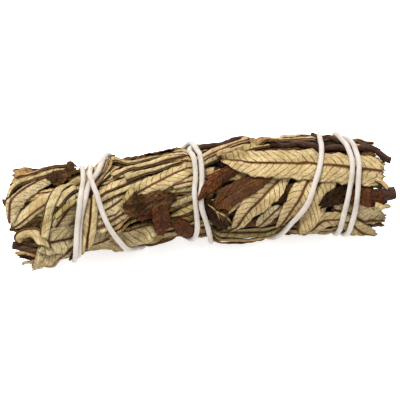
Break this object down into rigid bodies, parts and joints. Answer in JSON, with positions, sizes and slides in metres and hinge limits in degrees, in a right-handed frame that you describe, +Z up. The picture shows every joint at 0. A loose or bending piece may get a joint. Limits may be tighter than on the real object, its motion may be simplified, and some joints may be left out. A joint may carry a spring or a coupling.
{
  "type": "herb smudge bundle",
  "caption": "Dried yerba santa leaves and woody stems rolled lengthwise into a stick and bound with wound cotton string, for burning as incense.",
  "frame": {"origin": "middle of the bundle's footprint, on the plane it rests on", "axes": "+X along the bundle towards the end where the stems show, +Z up"},
  "size_m": [0.1024, 0.034, 0.0274],
  "materials": {
    "leaf_underside": "dry felted leaf underside, cream to olive with brown veins, matt",
    "leaf_folded": "dry rolled or folded leaf, olive to straw, matt",
    "leaf_topside": "dry resinous leaf upper side, dark brown with a fine net, slightly glossy",
    "stem_bark": "rough dark brown bark with a paler cut end",
    "string_cotton": "soft undyed twisted cotton, matt"
  },
  "bodies": {
    "root": {"core_stem_1": "stem_bark", "core_stem_2": "stem_bark", "core_stem_3": "stem_bark", "core_stem_4": "stem_bark", "core_stem_5": "stem_bark", "core_stem_centre": "stem_bark", "cotton_string": "string_cotton", "dark_leaf_back": "leaf_topside", "dark_leaf_centre": "leaf_topside", "dark_leaf_netted": "leaf_topside", "dark_leaf_red": "leaf_topside", "dark_leaf_right": "leaf_topside", "leaf_back_high_left": "leaf_underside", "leaf_back_high_right": "leaf_underside", "leaf_back_low_left": "leaf_underside", "leaf_back_low_middle": "leaf_underside", "leaf_back_low_right": "leaf_underside", "leaf_broad": "leaf_underside", "leaf_centre": "leaf_underside", "leaf_end_lower": "leaf_underside", "leaf_end_upper": "leaf_underside", "leaf_flank_back_left": "leaf_underside", "leaf_flank_back_right": "leaf_underside", "leaf_flank_front_left": "leaf_underside", "leaf_flank_front_right": "leaf_underside", "leaf_left_curled": "leaf_underside", "leaf_left_ground": "leaf_underside", "leaf_left_low": "leaf_underside", "leaf_left_narrow": "leaf_underside", "leaf_left_ribbed": "leaf_underside", "leaf_long_low": "leaf_underside", "leaf_middle_lower": "leaf_underside", "leaf_middle_netted": "leaf_underside", "leaf_middle_upper": "leaf_underside", "leaf_right_first": "leaf_underside", "leaf_right_second": "leaf_underside", "leaf_right_third": "leaf_underside", "leaf_top_middle": "leaf_underside", "leaf_underside_left": "leaf_underside", "leaf_underside_middle": "leaf_underside", "leaf_underside_right": "leaf_underside", "leaf_upright": "leaf_underside", "rolled_leaf_1": "leaf_folded", "rolled_leaf_2": "leaf_folded", "rolled_leaf_3": "leaf_folded", "rolled_leaf_4": "leaf_folded", "rolled_leaf_5": "leaf_folded", "rolled_leaf_6": "leaf_folded", "rolled_leaf_7": "leaf_folded", "stem_end": "stem_bark", "stem_stub_left": "stem_bark", "stem_top": "stem_bark", "strip_crest": "leaf_folded", "strip_left_bent": "leaf_folded", "strip_left_rim": "leaf_folded", "strip_middle_lower": "leaf_folded", "strip_middle_upper": "leaf_folded", "strip_top_lower": "leaf_folded", "strip_top_upper": "leaf_folded", "twig_top": "stem_bark"}
  },
  "joints": []
}
